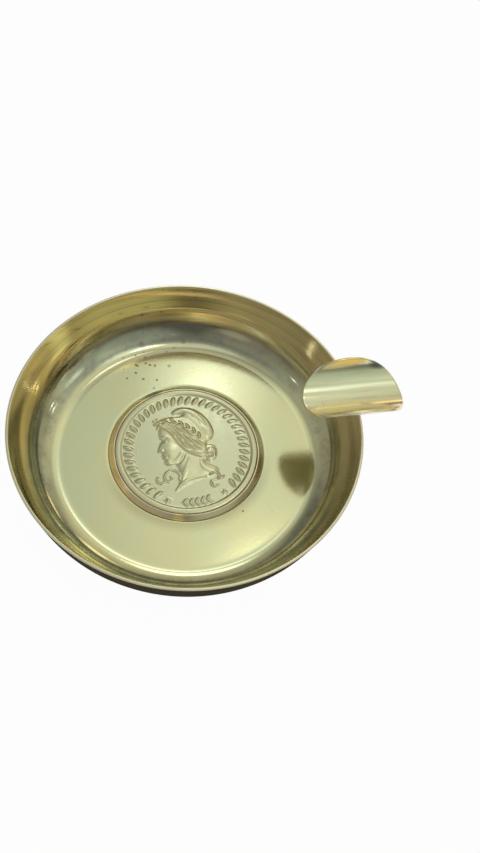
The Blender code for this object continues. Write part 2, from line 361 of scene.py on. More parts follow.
FLOOR_TONE = (0.74, 0.735, 0.48)
GREEN_TONE = (0.7, 0.745, 0.52)
CORNER_TONE = (0.555, 0.6, 0.465)
WALL_TONE = (0.86, 0.69, 0.38)
WALL_SHADY_TONE = (0.66, 0.58, 0.46)
RIM_TONE = (0.82, 0.79, 0.62)
OUTSIDE_SHADE_TONE = (0.085, 0.077, 0.064)
OUTSIDE_SHADE_CLOUD_TONE = (0.13, 0.11, 0.078)
TARNISH_TONE = (0.17, 0.15, 0.14)
STAIN_AND_SHADE_TONE = (0.33, 0.31, 0.25)
FAR_CORNER_SHADE_TONE = (0.24, 0.23, 0.215)
DULL_TONE = (0.34, 0.3, 0.2)
COIN_TONE = (0.66, 0.68, 0.5)
COIN_HIGH_TONE = (0.73, 0.73, 0.5)
COIN_RIM_TONE = (0.58, 0.57, 0.4)
COIN_RECESS_TONE = (0.6, 0.58, 0.4)
COLLAR_TONE = (0.78, 0.72, 0.51)
SOLDER_TONE = (0.6, 0.57, 0.46)
REST_TONE = (0.75, 0.78, 0.58)
UNDERSIDE_LIGHT_TONE = (0.95, 0.9, 0.74)
GOLD_REFLECTION_TONE = (0.94, 0.77, 0.36)
WARM_REFLECTION_TONE = (0.9, 0.77, 0.55)
SLATE_SHADE_TONE = (0.26, 0.27, 0.26)
ROSE_GLINT_TONE = (0.72, 0.5, 0.36)

# Noises: the width of the largest blotches, detail and roughness
WARP_NOISE = (0.02, 2.0, 0.5)
CLOUD_NOISE = (0.012, 4.0, 0.6)
MOTTLE_NOISE = (0.0035, 5.0, 0.7)
RAGGED_NOISE = (0.0012, 3.0, 0.6)
FINE_NOISE = (0.0006, 4.0, 0.7)
COIN_CLOUD_NOISE = (0.003, 4.0, 0.6)
COIN_GRAIN_NOISE = (0.0004, 4.0, 0.7)
COLLAR_CLOUD_NOISE = (0.004, 4.0, 0.6)
REST_CLOUD_NOISE = (0.006, 4.0, 0.6)
DRAWN_NOISE = (0.0007, 4.0, 0.6)
DRAWN_STRETCH = (0.06, 1.0, 1.0)
SOLDER_NOISE = (0.001, 4.0, 0.6)

# Smooth steps: where each starts and ends, and what it gives before and after, else 0 and 1
FADES = {
    "dot reach": (0.35, 1.0, 0.0, 0.36),
    "dot edge": (0.0, 0.09),
    "corner": (FLOOR_Z + 0.0002, FLOOR_Z + 0.001),
    "wall": (FLOOR_Z + 0.003, FLOOR_Z + 0.007),
    "shady side": (-0.004, 0.028),
    "green clouds": (0.42, 0.62, 0.0, 0.75),
    "collar_shade": (SEAT_RADIUS, SEAT_RADIUS + 0.0035, 0.45, 0.0),
    "halo near side": (-0.014, 0.0, 1.0, 0.0),
    "rings": (0.45, 0.75, 0.0, 0.22),
    "corner stains": (0.42, 0.66, 0.0, 0.5),
    "far corner shade side": (0.016, 0.027, 0.0, 0.8),
    "far corner shade foot": (FLOOR_Z + 0.0005, FLOOR_Z + 0.0012),
    "far corner shade top": (FLOOR_Z + 0.0045, FLOOR_Z + 0.0058, 1.0, 0.0),
    "far corner shade mottle": (0.35, 0.62, 1.0, 0.6),
    "far corner shade left end": (-0.019, -0.009),
    "edge shade": (0.0005, 0.0013, 0.6, 0.0),
    "edge film far side": (0.01, 0.022),
    "spin line": (0.00006, 0.0002, 0.55, 0.0),
    "smear": (0.0005, 0.0011, 0.65, 0.0),
    "outside": (0.1, 0.45),
    "outside shade clouds": (0.4, 0.7, 0.0, 0.8),
    "cut rim": (RIM_Z - 0.00025, RIM_Z - 0.0001),
    "floor roughness": (SATIN_RADIUS - 0.0002, SATIN_RADIUS + 0.0002, 0.125, 0.105),
    "fine roughness": (0.3, 0.7, -0.015, 0.03),
    "satin right side": (0.004, 0.018, 1.0, 0.0),
    "satin near side": (-0.028, -0.012, 0.8, 0.0),
    "polished far side": (0.008, 0.024, 0.0, 0.45),
    "coin relief": (COIN_FIELD_Z, COIN_FIELD_Z + 0.0004),
    "coin rim": (0.0149, 0.0153, 0.0, 0.8),
    "soft clouds": (0.45, 0.8, 0.0, 0.25),
    "coin roughness": (0.3, 0.7, 0.17, 0.24),
    "collar clouds": (0.45, 0.8, 0.0, 0.35),
    "collar near side shade": (-0.017, -0.006, 0.5, 0.0),
    "collar roughness": (0.3, 0.7, 0.14, 0.26),
    "draw lines": (0.5, 0.75, 0.0, 0.2),
    "rest near side reflection": (-0.0022, -0.0006, 0.85, 0.0),
    "rest underside": (-0.15, 0.05, 1.0, 0.0),
    "rest roughness": (0.3, 0.7, 0.14, 0.22),
    "solder roughness": (0.3, 0.7, 0.35, 0.55),
}

# How much rougher each part of the bowl and of the rest is
WALL_ROUGHER = 0.015
SATIN_ROUGHER = 0.12
TARNISH_ROUGHER = 0.25
OUTSIDE_ROUGHER = 0.45
RIM_ROUGHER = 0.12
UNDERSIDE_ROUGHER = 0.35

# Depths of the finest grain
BOWL_GRAIN = 0.000004
COIN_GRAIN = 0.000006
REST_GRAIN = 0.000003

# Bowl's weathering: turned rings and a scored line on the wall, a smear round the floor's edge, and
# painted shade along that edge on the far side
RING_PITCH = 0.0022
RING_WARP = 0.002
SPIN_LINE_Z = 0.0131
FLOOR_EDGE_RADIUS = 0.0293
SMEAR_RADIUS = 0.0279
SMEAR_WARP = 0.0009
SMEAR_SPOT = ((-1.5, 27.8, FLOOR_Z / MM), 5.0, 9.5, 1.0)
FRECKLE_SPACING = 0.0011
FRECKLE_STRENGTH = 0.8
FRECKLE_SPOT = ((-7.0, 26.5, 3.0), 1.0, 11.5, 1.0, (1.0, 1.4, 1.0))
OUTSIDE_DULLNESS = 0.95

# Tarnish specks on the bowl's inside: place and radius in millimetres, and strength
SPECKS = (
    (-9.2, 25.6, 2.5, 0.3, 0.8), (-9.5, 23.2, 2.5, 0.28, 0.9), (-11.8, 21.9, 2.5, 0.3, 0.8),
    (-5.8, 25.3, 2.5, 0.26, 0.9), (-4.6, 20.5, 2.5, 0.3, 0.9), (-7.9, 21.2, 2.5, 0.24, 0.8),
    (-4.6, 24.6, 2.5, 0.24, 0.8), (-5.6, 18.2, 2.5, 0.22, 0.7), (-1.1, 24.5, 2.5, 0.45, 0.4),
    (-6.6, 35.7, 9.6, 0.3, 0.7), (-1.7, 36.3, 9.6, 0.3, 0.7), (-7.1, 31.1, 3.5, 0.7, 0.5),
    (3.4, 31.3, 3.2, 0.7, 0.45), (0.9, 30.0, 2.8, 0.5, 0.4), (10.2, -17.0, 2.5, 0.13, 0.8),
    (16.7, -18.1, 2.5, 0.13, 0.7),
)
SPECK_WARP = 1.1
SPECK_SOFTNESS = (0.35, 0.7)


class BowlFinish(Finish):
    """Satin floor, polished corner and wall, pale cut rim, a dull outside painted dark as shade, tarnish,
    and painted shade.
    """

    def __init__(self):
        super().__init__("bowl_brass")
        self.height = self.axis("Z")
        self.clouds = self.noise(CLOUD_NOISE)
        self.fine = self.noise(FINE_NOISE)
        self.on_corner = self.fade(self.height, "corner")
        self.on_wall = self.fade(self.height, "wall")
        self.on_rim = self.fade(self.height, "cut rim")
        self.shady = self.fade(self.axis("X"), "shady side")

    def clean_tone(self):
        """Brass of the floor, the corner and the wall, with painted shade round the collar on the near
        side and on the wall's right side.
        """
        floor_tone = self.blend(self.fade(self.clouds, "green clouds"), FLOOR_TONE, GREEN_TONE)
        # Painted shade: the floor is darkened round the collar on its near side.
        collar_shade = self.product(self.fade(self.radius(), "collar_shade"), self.fade(self.axis("Y"), "halo near side"))
        floor_tone = self.blend(collar_shade, floor_tone, DULL_TONE)
        # Painted shade: the wall takes a darker, duller tone on its right side.
        wall_tone = self.blend(self.shady, WALL_TONE, WALL_SHADY_TONE)
        return self.blend(self.on_wall, self.blend(self.on_corner, floor_tone, CORNER_TONE), wall_tone)

    def weathered(self, tone):
        """The tone under rings, stains, painted shade low in the far corner and at the floor's far edge,
        and the scored line.
        """
        warped = self.total(self.height, self.product(self.noise(WARP_NOISE), RING_WARP))
        rings = self.fade(self.line_noise(warped, RING_PITCH), "rings")
        tone = self.blend(self.product(rings, self.on_wall), tone, DULL_TONE)
        mottled = self.noise(MOTTLE_NOISE)
        stains = self.product(self.fade(mottled, "corner stains"), self.on_corner)
        stains = self.product(stains, self.minus(1.0, self.on_wall))
        tone = self.blend(stains, tone, STAIN_AND_SHADE_TONE)
        # Painted shade: a dark band low in the far corner, for the dark reflection there.
        far_corner_shade = self.product(
            self.fade(self.axis("Y"), "far corner shade side"),
            self.fade(self.height, "far corner shade foot"),
            self.fade(self.height, "far corner shade top"),
            self.fade(mottled, "far corner shade mottle"),
            self.fade(self.axis("X"), "far corner shade left end"),
        )
        tone = self.blend(far_corner_shade, tone, FAR_CORNER_SHADE_TONE)
        # Painted shade: the floor's edge is dulled on the far side.
        edge_shade = self.fade(self.off(self.radius(), FLOOR_EDGE_RADIUS), "edge shade")
        edge_shade = self.product(edge_shade, self.fade(self.axis("Y"), "edge film far side"))
        tone = self.blend(edge_shade, tone, STAIN_AND_SHADE_TONE)
        return self.blend(self.fade(self.off(self.height, SPIN_LINE_Z), "spin line"), tone, STAIN_AND_SHADE_TONE)

    def tarnish(self):
        """Specks, freckles and a smear."""
        warp = self.product(self.noise(RAGGED_NOISE), SPECK_WARP * MM)
        result = 0.0
        for x, y, z, reach, strength in SPECKS:
            inner, outer = (reach + softness for softness in SPECK_SOFTNESS)
            result = self.most(result, self.spot((x, y, z), inner, outer, strength, warp=warp))
        freckles = self.product(self.dots(FRECKLE_SPACING), FRECKLE_STRENGTH, self.spot(*FRECKLE_SPOT))
        off_smear = self.off(self.radius(), SMEAR_RADIUS)
        off_smear = self.total(off_smear, self.product(self.fine, SMEAR_WARP))
        smear = self.product(self.fade(off_smear, "smear"), self.spot(*SMEAR_SPOT))
        return self.most(result, freckles, smear)

    def outside(self):
        """One where the surface faces outwards or down, else zero."""
        along = self.vector("DOT_PRODUCT", self.facing(), self.flat_place())
        outwards = self.join("DIVIDE", (along, self.radius()))
        down = self.product(self.axis("Z", self.facing()), -1.0)
        return self.fade(self.most(outwards, down), "outside")

    def satin(self):
        """How much less polished the wall is to the right and near, and more so far away."""
        right = self.product(self.shady, self.fade(self.axis("Y"), "satin right side"))
        near = self.fade(self.axis("Y"), "satin near side")
        far = self.fade(self.axis("Y"), "polished far side")
        return self.product(self.minus(self.most(right, near), far), self.on_wall)

    def build(self):
        tarnish = self.tarnish()
        outside = self.outside()
        outside_shade_mix = self.fade(self.clouds, "outside shade clouds")
        tone = self.blend(tarnish, self.weathered(self.clean_tone()), TARNISH_TONE)
        # Painted shade: the outside is painted dark, with lighter clouds, for the dark surroundings it
        # mirrors.
        tone = self.blend(outside, tone, self.blend(outside_shade_mix, OUTSIDE_SHADE_TONE, OUTSIDE_SHADE_CLOUD_TONE))
        tone = self.blend(self.on_rim, tone, RIM_TONE)
        rough = self.total(
            self.fade(self.radius(), "floor roughness"),
            self.product(self.on_wall, WALL_ROUGHER),
            self.product(self.satin(), SATIN_ROUGHER),
            self.fade(self.fine, "fine roughness"),
            self.product(tarnish, TARNISH_ROUGHER),
            self.product(outside, OUTSIDE_ROUGHER),
            self.product(self.on_rim, RIM_ROUGHER),
        )
        normal = self.bump(self.total(self.fine, self.product(self.clouds, 2.0)), BOWL_GRAIN)
        dull = self.product(self.minus(1.0, self.on_rim), outside, OUTSIDE_DULLNESS)
        self.shader.inputs["Specular IOR Level"].default_value = 0.0
        return self.complete(tone, rough, normal, self.minus(1.0, dull))


def coin_finish():
    finish = Finish("coin_metal")
    clouds = finish.noise(COIN_CLOUD_NOISE)
    tone = finish.blend(finish.fade(finish.axis("Z"), "coin relief"), COIN_TONE, COIN_HIGH_TONE)
    tone = finish.blend(finish.fade(finish.radius(), "coin rim"), tone, COIN_RIM_TONE)
    tone = finish.blend(finish.fade(clouds, "soft clouds"), tone, COIN_RECESS_TONE)
    normal = finish.bump(finish.noise(COIN_GRAIN_NOISE), COIN_GRAIN)
    return finish.complete(tone, finish.fade(clouds, "coin roughness"), normal)


# Painted light on the collar: a slate painted shade at the far left, a rose painted glint at the left and
# a gold painted glint at the near side; place, inner and outer reach in millimetres, strength and tone
COLLAR_PAINTED_LIGHTS = (
    ((-6.2, 16.6, FLOOR_Z / MM), 1.0, 3.0, 0.8, SLATE_SHADE_TONE),
    ((-15.6, 7.2, FLOOR_Z / MM), 1.5, 4.5, 0.6, ROSE_GLINT_TONE),
    ((-4.3, -16.9, FLOOR_Z / MM), 0.4, 1.8, 0.9, GOLD_REFLECTION_TONE),
)


def collar_finish():
    finish = Finish("collar_brass")
    clouds = finish.noise(COLLAR_CLOUD_NOISE)
    tone = finish.blend(finish.fade(clouds, "collar clouds"), COLLAR_TONE, DULL_TONE)
    # Painted shade: the collar is dulled on its near side.
    tone = finish.blend(finish.fade(finish.axis("Y"), "collar near side shade"), tone, DULL_TONE)
    # Painted shade and painted glints on the collar.
    for *spot, painted_tone in COLLAR_PAINTED_LIGHTS:
        tone = finish.blend(finish.spot(*spot), tone, painted_tone)
    return finish.complete(tone, finish.fade(clouds, "collar roughness"))


# Painted reflections on the rest (a gold line on the far edge, a slate dark patch, an amber tip, a gold
# streak at the near edge) and two scratches: place, inner and outer reach in millimetres, strength,
# stretch and tone
REST_REFLECTIONS_AND_SCRATCHES = (
    ((36.0, 6.9, 23.6), 0.6, 1.4, 1.0, (0.14, 1.0, 0.6), GOLD_REFLECTION_TONE),
    ((43.7, 6.2, 22.2), 0.72, 1.66, 0.85, (0.45, 1.2, 0.6), SLATE_SHADE_TONE),
    ((45.9, 4.0, 20.3), 0.42, 1.01, 0.6, (0.6, 1.0, 0.6), WARM_REFLECTION_TONE),
    ((35.5, -1.5, 18.8), 0.21, 0.555, 0.5, (0.06, 1.0, 0.3), GOLD_REFLECTION_TONE),
    ((29.3, -1.6, 18.8), 0.06, 0.23, 0.7, (1.0, 0.06, 0.06), DULL_TONE),
    ((33.2, -2.2, 19.0), 0.042, 0.191, 0.5, (0.8, 0.08, 0.08), DULL_TONE),
)
MARK_WARP = 0.2


def rest_finish():
    """Polished inside with fine draw lines along it, a few scratches, painted reflections and a pale
    underside painted as light.
    """
    finish = Finish("rest_brass")
    clouds = finish.noise(REST_CLOUD_NOISE)
    lines = finish.noise(DRAWN_NOISE, finish.vector("MULTIPLY", finish.place, DRAWN_STRETCH))
    tone = finish.blend(finish.fade(clouds, "soft clouds"), REST_TONE, WALL_TONE)
    tone = finish.blend(finish.fade(lines, "draw lines"), tone, STAIN_AND_SHADE_TONE)
    # Painted reflection: the near side of the rest takes a warm amber tone.
    tone = finish.blend(finish.fade(finish.axis("Y"), "rest near side reflection"), tone, WARM_REFLECTION_TONE)
    warp = finish.product(lines, MARK_WARP * MM)
    # The first four marks are painted reflections, the last two scratches.
    for *mark, mark_tone in REST_REFLECTIONS_AND_SCRATCHES:
        tone = finish.blend(finish.spot(*mark, warp), tone, mark_tone)
    # Painted light: where the rest faces down it takes a much paler tone.
    underneath = finish.fade(finish.axis("Z", finish.facing()), "rest underside")
    tone = finish.blend(underneath, tone, UNDERSIDE_LIGHT_TONE)
    rougher = finish.product(underneath, UNDERSIDE_ROUGHER)
    rough = finish.total(finish.fade(lines, "rest roughness"), rougher)
    return finish.complete(tone, rough, finish.bump(lines, REST_GRAIN))


def solder_finish():
    finish = Finish("solder")
    clouds = finish.noise(SOLDER_NOISE)
    tone = finish.blend(clouds, SOLDER_TONE, DULL_TONE)
    return finish.complete(tone, finish.fade(clouds, "solder roughness"))


def wall_point(height, offset):
    """Radius of the wall at a height; offset is measured square to it, outwards from its outer face."""
    return RIM_RADIUS + (height - RIM_Z) * math.tan(WALL_LEAN) + offset / math.cos(WALL_LEAN)


def crease(height):
    """The sheet's slight step where the corner runs into the wall, at most 0.08 mm."""
    turn = math.tau * (height - CREASE_Z) / CREASE_SPAN
    if abs(turn) > math.pi:
        return 0.0
    return CREASE_DEPTH * math.sin(turn) * (1 + math.cos(turn)) / 2


def corner(offset):
    """Quarter ellipse that leaves the flat floor and meets the leaning wall.

    The offset moves it square to itself, away from the inside.
    """
    centre_z = FLOOR_Z + CORNER_HEIGHT
    reach = math.hypot(CORNER_REACH, CORNER_HEIGHT * math.tan(WALL_LEAN))
    centre_r = wall_point(centre_z, -SHEET) - reach
    start = -math.pi / 2
    end = -math.atan(CORNER_HEIGHT * math.tan(WALL_LEAN) / CORNER_REACH)
    points = []
    for step in range(CORNER_STEPS + 1):
        turn = start + (end - start) * step / CORNER_STEPS
        across, up = math.cos(turn) / CORNER_REACH, math.sin(turn) / CORNER_HEIGHT
        slant = math.hypot(across, up)
        radius = centre_r + CORNER_REACH * math.cos(turn) + offset * across / slant
        height = centre_z + CORNER_HEIGHT * math.sin(turn) + offset * up / slant
        points.append((radius, height))
    return points


def bowl_profile():
    """From the axis over the inside to the rim, then down the outside to the foot."""
    inside = corner(0.0)
    outside = corner(SHEET)[::-1]
    seat = rounded(
        [(0.0, SEAT_FLOOR_Z), (SEAT_RADIUS, SEAT_FLOOR_Z), (SEAT_RADIUS, FLOOR_Z), inside[0]],
        [0.0, SEAT_LIP],
    )
    rim = rounded(
        [inside[-1], (wall_point(RIM_Z, -SHEET), RIM_Z), (RIM_RADIUS, RIM_Z), outside[0]],
        [RIM_INNER_ROUND, RIM_OUTER_ROUND],
    )
    foot = rounded(
        [outside[-1], (FOOT_RADIUS, FLOOR_Z - SHEET), (FOOT_RADIUS, 0.0), (0.0, 0.0)],
        [SEAT_LIP, FOOT_ROUND],
    )
    return divided(seat + inside[1:-1] + rim + outside[1:-1] + foot, LONGEST_STEP)


def bowl_place(radius, height, angle):
    """A place with the sheet's slight waves, none at seat and rim, and its step, on the far side."""
    rise = min(1.0, max(0.0, (height - FLOOR_Z) / WAVE_RISE)) * min(1.0, (RIM_Z - height) / WAVE_FALL)
    waves = sum(
        share * math.sin(count * angle + shift + twist * height) for count, share, shift, twist in WAVES
    )
    far_share = max(0.0, math.sin(angle)) ** 2
    swell = crease(height) * far_share - WAVE_DEPTH * rise * (1 + waves / 2)
    return turned_place(radius + swell, height, angle)


def build_bowl():
    vertices, faces = swept(bowl_profile(), BOWL_STEPS, bowl_place)
    add_piece("spun_bowl", vertices, faces, "bowl", BowlFinish().build())


def build_collar():
    start = (COLLAR_INNER_RADIUS, (COIN_LOW.z + COLLAR_TOP_Z) / 2)
    corners = [
        start,
        (COLLAR_INNER_RADIUS, COLLAR_TOP_Z),
        (COLLAR_INNER_RADIUS + COLLAR_FLAT, COLLAR_TOP_Z),
        (COLLAR_OUTER_RADIUS, COLLAR_TOE_Z),
        (COLLAR_OUTER_RADIUS, COIN_LOW.z),
        (COLLAR_INNER_RADIUS, COIN_LOW.z),
        start,
    ]
    line = rounded(corners, [COLLAR_ROUND, COLLAR_ROUND * 2, 0.0, 0.0, 0.0], 4)
    vertices, faces = swept(divided(line, COLLAR_LONGEST_STEP)[:-1], BOWL_STEPS, turned_place)
    add_piece("collar_ring", vertices, faces, "coin_collar", collar_finish())


def disc_places():
    """A unit disc as a square core and rings round it: places, faces, last ring and its directions."""
    cells = COIN_CORE_CELLS
    ticks = np.linspace(-1.0, 1.0, cells + 1)
    u, v = np.meshgrid(ticks, ticks, indexing="xy")
    core_x = COIN_CORE_SHARE * u * (1 + COIN_CORE_BULGE * (1 - v * v))
    core_y = COIN_CORE_SHARE * v * (1 + COIN_CORE_BULGE * (1 - u * u))
    places = [np.c_[core_x.ravel(), core_y.ravel()]]
    index = np.arange((cells + 1) ** 2).reshape(cells + 1, cells + 1)
    corners = (index[:-1, :-1], index[:-1, 1:], index[1:, 1:], index[1:, :-1])
    faces = np.stack(corners, axis=-1).reshape(-1, 4).tolist()
    loop = np.concatenate([index[0, :-1], index[:-1, -1], index[-1, :0:-1], index[:0:-1, 0]])
    edge = places[0][loop]
    rim = edge / np.linalg.norm(edge, axis=1)[:, None]
    rings = [loop.tolist()]
    for ring in range(COIN_RING_CELLS):
        share = (ring + 1) / COIN_RING_CELLS
        places.append(edge * (1 - share) + rim * share)
        first = index.size + ring * len(loop)
        rings.append(range(first, first + len(loop)))
    return np.vstack(places), faces + ring_faces(rings[::-1]), rings[-1], rim


# The coin's relief, in millimetres from its middle with the bust upright, from outlines drawn
FACE_AND_NECK = (
    (-5.15, 7.1), (-5.6, 6.0), (-5.78, 4.9), (-5.8, 4.1), (-5.75, 3.55), (-5.45, 3.0), (-5.75, 2.2),
    (-6.25, 1.35), (-6.75, 0.55), (-6.85, 0.22), (-6.55, -0.05), (-5.95, -0.12), (-5.82, -0.55),
    (-6.08, -0.92), (-6.02, -1.15), (-5.72, -1.27), (-5.98, -1.48), (-5.92, -1.8), (-5.58, -2.15),
    (-5.62, -2.65), (-5.6, -3.1), (-5.15, -3.62), (-4.3, -3.75), (-3.3, -3.7), (-2.95, -4.3),
    (-2.85, -5.3), (-3.0, -6.6), (-3.25, -8.0), (-3.9, -9.4), (-4.6, -10.3),
)
BUST_CUT = (
    (-4.45, -10.4), (-3.3, -9.9), (-1.9, -9.3), (0.4, -8.6), (2.2, -8.25), (3.6, -8.1), (4.5, -7.9),
)
BACK_OF_NECK = ((5.6, -7.4), (6.2, -6.7), (5.7, -5.7), (4.4, -4.8), (3.7, -4.1))
BUN = (
    (3.5, -3.4), (4.3, -4.1), (5.2, -4.2), (6.1, -3.5), (6.6, -2.6), (6.8, -1.4), (6.6, -0.4),
    (5.8, 0.25), (4.9, 0.4),
)
CAP_BACK = (
    (4.9, 1.1), (6.2, 1.8), (7.0, 3.4), (6.8, 5.7), (6.0, 7.7), (4.7, 9.6), (3.0, 10.9), (0.9, 11.45),
    (-0.7, 11.15), (-1.7, 10.4), (-1.6, 9.8), (-0.6, 9.7), (0.5, 9.5),
)
CAP_FRONT = ((-0.15, 9.0), (-2.9, 9.15), (-5.1, 8.6), (-6.5, 7.75), (-6.1, 7.25), (-5.5, 7.35))
CAP_BAND = (
    (-6.2, 7.5), (-5.0, 8.1), (-2.9, 8.55), (-0.2, 8.35), (1.3, 7.7), (2.5, 6.4), (3.4, 4.6),
    (4.1, 2.8), (4.7, 1.3),
)
CAP_FOLD = ((-1.0, 10.5), (0.6, 10.75), (2.2, 10.35), (3.7, 9.1), (4.9, 7.0), (5.7, 5.2))
HAIR_EDGE = (
    (-5.3, 6.9), (-4.7, 6.1), (-3.6, 5.1), (-2.7, 3.7), (-2.0, 2.2), (-1.3, 0.7), (-0.4, -0.8),
    (0.9, -1.9), (2.3, -2.7), (3.6, -3.1),
)
WREATH = (
    (-5.6, 7.2), (-4.0, 7.6), (-2.2, 7.5), (-0.5, 6.7), (0.9, 5.6), (2.1, 4.4), (3.1, 2.9), (3.9, 1.5),
)
CUT_EDGE = ((-4.3, -10.0), (-3.3, -9.0), (-1.8, -8.2), (0.6, -7.7), (2.8, -7.5), (4.6, -7.3))
CUT_SHADE = tuple((x + 0.05, y - 0.5) for x, y in CUT_EDGE[1:-1])

# Strokes of the relief: points, width, height and taper; the face keeps to a drawing book's thirds
STROKES = {
    "upper lid": (((-5.25, 2.5), (-4.95, 2.9), (-4.45, 2.98), (-3.9, 2.65)), 0.24, 0.07, 0.6),
    "lower lid": (((-5.15, 2.4), (-4.75, 2.22), (-4.2, 2.4)), 0.18, 0.035, 0.6),
    "brow": (((-5.55, 3.5), (-5.0, 3.85), (-4.3, 3.92), (-3.5, 3.5)), 0.55, 0.06, 0.7),
    "nose": (((-5.5, 2.8), (-5.95, 1.8), (-6.4, 0.75)), 0.7, 0.05, 0.5),
    "nostril groove": (((-5.35, 0.85), (-5.25, 0.4), (-5.45, 0.05)), 0.26, -0.05, 0.7),
    "upper lip": (((-5.95, -1.0), (-5.4, -1.02), (-4.95, -1.28)), 0.34, 0.05, 0.6),
    "mouth": (((-5.8, -1.27), (-5.3, -1.3), (-4.85, -1.4)), 0.2, -0.1, 0.6),
    "lower lip": (((-5.85, -1.62), (-5.4, -1.66), (-5.0, -1.52)), 0.38, 0.055, 0.6),
    "jaw": (((-4.7, -3.3), (-3.4, -3.0), (-2.2, -2.1), (-1.5, -0.9)), 1.2, 0.07, 0.6),
    "under the jaw": (((-3.9, -3.95), (-2.7, -3.5), (-1.5, -2.5), (-0.7, -1.3)), 0.8, -0.1, 0.8),
    "throat": (((0.2, -2.4), (-0.8, -4.6), (-2.0, -6.6), (-2.7, -8.2)), 1.5, 0.07, 0.7),
    "nape": (((2.6, -3.4), (2.9, -5.0), (3.9, -6.2), (5.2, -6.6)), 1.6, 0.08, 0.5),
    "hem": (CUT_EDGE, 0.5, 0.14, 0.4),
    "under the hem": (CUT_SHADE, 0.55, -0.12, 0.5),
    "band": (CAP_BAND, 0.4, 0.07, 0.3),
    "crest": (CAP_FOLD, 1.2, 0.07, 0.8),
    "front crease": (((-1.0, 9.75), (0.8, 9.75), (2.2, 9.2), (3.1, 8.2)), 0.4, -0.12, 0.7),
    "middle crease": (((2.6, 8.7), (3.6, 7.4), (4.3, 5.8)), 0.7, -0.04, 0.8),
    "back fold": (((5.9, 7.4), (6.3, 5.6), (6.2, 3.8)), 0.9, 0.03, 0.8),
    "low fold": (((4.6, 5.2), (5.1, 3.9), (5.3, 2.6)), 0.5, 0.05, 0.8),
}
SCROLLS = {
    "left scroll": (
        (-3.2, -7.6), (-2.9, -6.5), (-3.4, -5.5), (-4.4, -5.0), (-5.5, -5.3), (-6.3, -6.2), (-6.3, -7.2),
        (-5.6, -7.7), (-4.9, -7.3), (-5.0, -6.6),
    ),
    "left curl": ((-6.5, -7.5), (-7.2, -7.9), (-7.9, -7.6), (-8.2, -6.9), (-7.8, -6.3)),
    "right scroll": (
        (3.9, -7.5), (4.9, -7.1), (5.8, -7.5), (5.8, -8.5), (4.9, -9.0), (4.0, -9.2), (3.8, -10.1),
        (4.5, -10.7), (5.2, -10.3),
    ),
    "right curl": ((5.6, -8.9), (6.4, -8.8), (6.9, -8.3)),
}
SCROLL_SHAPE = (0.62, 0.24, 0.35)

# Mounds and hollows of the relief: middle, reach each way and height
MOUNDS = {
    "eye hollow": ((-4.75, 2.85), (1.2, 0.85), -0.11),
    "eye": ((-4.65, 2.6), (0.55, 0.38), 0.1),
    "nostril": ((-5.85, 0.32), (0.5, 0.45), 0.08),
    "corner of the mouth": ((-4.75, -1.45), (0.35, 0.4), -0.04),
    "chin": ((-5.05, -2.95), (0.95, 0.75), 0.06),
    "cheek": ((-3.7, 0.1), (1.9, 1.9), 0.08),
    "side of the neck": ((1.4, -5.6), (1.5, 1.9), -0.04),
}

# Hair: locks between face and cap, each with its sway, then the turns of the bun
LOCKS = 11
LOCK_START_SHARE = 0.05
LOCK_STEP_SHARE = 0.06
LOCK_SWAY = 0.24
LOCK_WAVES = 1.6
LOCK_SHIFT = 0.37
LOCK_WIDTH = 0.46
LOCK_HEIGHTS = (0.25, 0.16)
LOCK_TAPER = 0.7
BUN_MIDDLE = (5.1, -1.95)
BUN_TURNS = ((20.0, 1.55), (95.0, 1.2), (170.0, 1.5), (245.0, 1.25), (310.0, 1.4))
BUN_STEP = 55.0
BUN_SHRINK = 0.2
BUN_SHAPE = (0.5, 0.2, 0.6)

# Leaves: width and height, and how far the wreath's reach ahead and aside
WREATH_PAIRS = 7
WREATH_REACH = (1.6, 0.85)
WREATH_LEAF = (0.85, 0.32)
WREATH_STEM = (0.24, 0.06)
BORDER_RADIUS = 13.55
BORDER_LEAF = (1.3, 0.36)
BORDER_LENGTH = 2.4
BORDER_SLANT = 2.0
BORDER_START = 231.0
BORDER_END = -51.0
BORDER_LEAVES = 38
SPRIG_AT = (-104.0, -98.5, -93.0, -87.5, -82.0)
SPRIG_STEM_AT = (-106.0, -99.0, -92.0, -85.0, -78.0)
SPRIG_STEM = (0.35, 0.12, 0.4)
SPRIG_RADIUS = 13.7
SPRIG_REACH = 1.15
SPRIG_TURN = 5.0
SPRIG_LEAF = (0.75, 0.26)

TUFTS = ((-6.35, 8.55), (-5.55, 9.0))
TUFT_SHAPE = (0.28, 0.2)
STARS = ((-6.6, -12.3), (6.3, -12.4))
STAR_ARMS = 5
STAR_RADIUS = 1.25
STAR_WAIST_SHARE = 0.42
STAR_SHAPE = (0.3, 0.5)
RIM_SLOPE = (14.85, 15.42)

# Rounded areas: height, and the width within which they reach it
BUST_SHAPE = (0.3, 2.2)
HAIR_SHAPE = (0.1, 0.4)
CAP_SHAPE = (0.14, 1.5)
SMOOTHINGS = 2


def from_polar(degrees, radius):
    turn = math.radians(degrees)
    return radius * np.array([math.cos(turn), math.sin(turn)])


